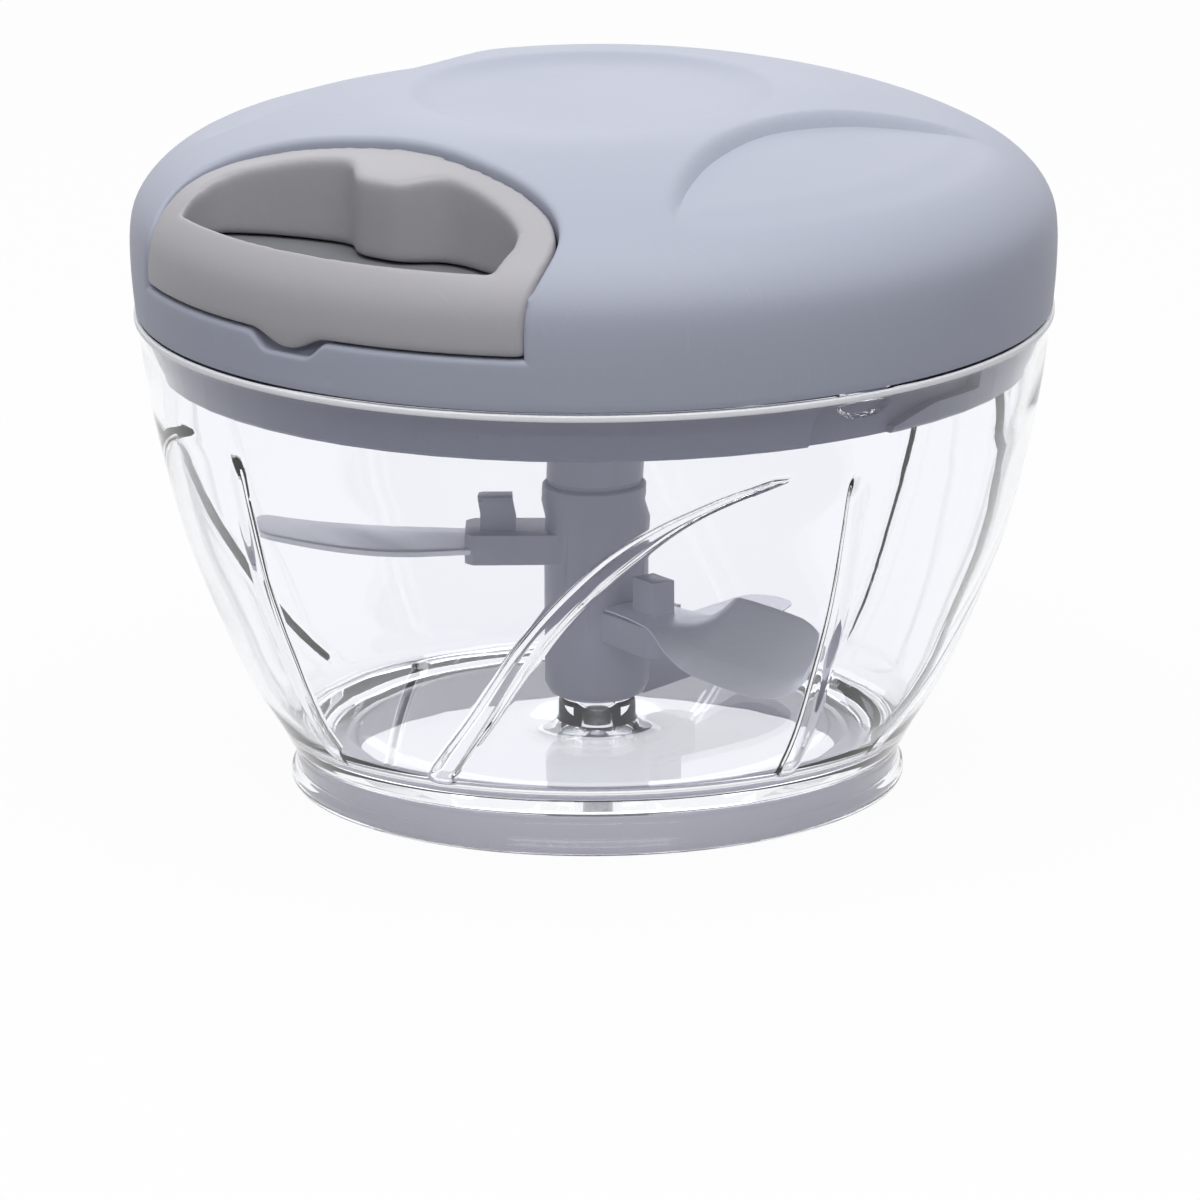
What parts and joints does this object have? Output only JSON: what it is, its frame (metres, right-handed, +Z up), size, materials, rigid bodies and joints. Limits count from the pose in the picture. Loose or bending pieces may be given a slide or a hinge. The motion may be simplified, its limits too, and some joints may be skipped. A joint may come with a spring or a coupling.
{
  "type": "hand-pulled food chopper",
  "caption": "Hand-pulled food chopper: a clear bowl, a twist-lock lid with a cord reel and pull handle, and a shaft with blades that the cord spins",
  "frame": {"origin": "centre of the underside of the resting ring under the bowl", "axes": "+Z up along the blade shaft; the handle pulls out along -Y; +X to the right seen from the handle's side"},
  "size_m": [0.1248, 0.1248, 0.0955],
  "materials": {
    "clear_plastic": "clear moulded, glossy",
    "lid_plastic": "moulded, satin, blue-grey",
    "plate_plastic": "moulded, satin, grey",
    "handle_plastic": "moulded, satin, warm grey",
    "shaft_plastic": "moulded, satin, dark grey",
    "blade_steel": "ground sheet steel",
    "bright_steel": "bright steel",
    "grey_rubber": "soft, matt, grey",
    "white_nylon": "natural nylon",
    "cord": "braided cord"
  },
  "bodies": {
    "bowl": {"bowl": "clear_plastic", "base_ring": "grey_rubber", "center_pin": "bright_steel"},
    "blades": {"blade_shaft": "shaft_plastic", "blade_high": "blade_steel", "blade_mid": "blade_steel", "blade_low": "blade_steel"},
    "seal": {"lid_seal": "grey_rubber"},
    "lid": {"lid_cover": "lid_plastic", "lid_base": "plate_plastic", "axle": "bright_steel", "cord_guide": "bright_steel", "power_spring": "bright_steel", "cord_feed": "cord", "lid_screw_1": "bright_steel", "lid_screw_2": "bright_steel", "lid_screw_3": "bright_steel", "lid_screw_4": "bright_steel"},
    "reel": {"reel": "white_nylon", "spring_cover": "bright_steel", "cord_winding": "cord"},
    "pawl_1": {"pawl_1": "white_nylon"},
    "pawl_2": {"pawl_2": "white_nylon"},
    "coupler": {"coupler": "white_nylon"},
    "handle": {"handle": "handle_plastic", "cord_knot": "cord", "cord_plug": "handle_plastic", "cord_run": "cord"}
  },
  "joints": [
    {"name": "lid_lift", "type": "slide", "parent": "bowl", "child": "seal", "axis": [0, 0, 1], "range_m": [0, 0.1]},
    {"name": "lid_turn", "type": "hinge", "parent": "seal", "child": "lid", "pos_m": [0, 0, 0.067], "axis": [0, 0, 1], "range_deg": [-17, 0]},
    {"name": "handle_pull", "type": "slide", "parent": "lid", "child": "handle", "axis": [0, -1, 0], "range_m": [0, 0.28], "stiffness_N_per_m": 20, "springref_m": -0.08, "deforming": ["cord_run", "cord_winding"]},
    {"name": "reel_spin", "type": "hinge", "parent": "lid", "child": "reel", "pos_m": [0, 0, 0.083], "axis": [0, 0, 1], "range_deg": [-830, 0]},
    {"name": "coupler_spin", "type": "hinge", "parent": "lid", "child": "coupler", "pos_m": [0, 0, 0.073], "axis": [0, 0, 1], "range_deg": [-830, 0]},
    {"name": "blade_spin", "type": "hinge", "parent": "bowl", "child": "blades", "pos_m": [0, 0, 0.03], "axis": [0, 0, 1], "range_deg": [-830, 0]},
    {"name": "pawl_1_swing", "type": "hinge", "parent": "reel", "child": "pawl_1", "pos_m": [0.0096, 0, 0.0777], "axis": [0, 0, 1], "range_deg": [-16, 0], "stiffness_Nm_per_rad": 0.003, "springref_deg": 5.73},
    {"name": "pawl_2_swing", "type": "hinge", "parent": "reel", "child": "pawl_2", "pos_m": [-0.0096, 0, 0.0777], "axis": [0, 0, 1], "range_deg": [-16, 0], "stiffness_Nm_per_rad": 0.003, "springref_deg": 5.73}
  ],
  "couplings": [
    {"joint": "reel_spin", "follows": "handle_pull", "rad_per_m": -50.761},
    {"joint": "coupler_spin", "follows": "handle_pull", "rad_per_m": -50.761},
    {"joint": "blade_spin", "follows": "handle_pull", "rad_per_m": -50.761}
  ]
}
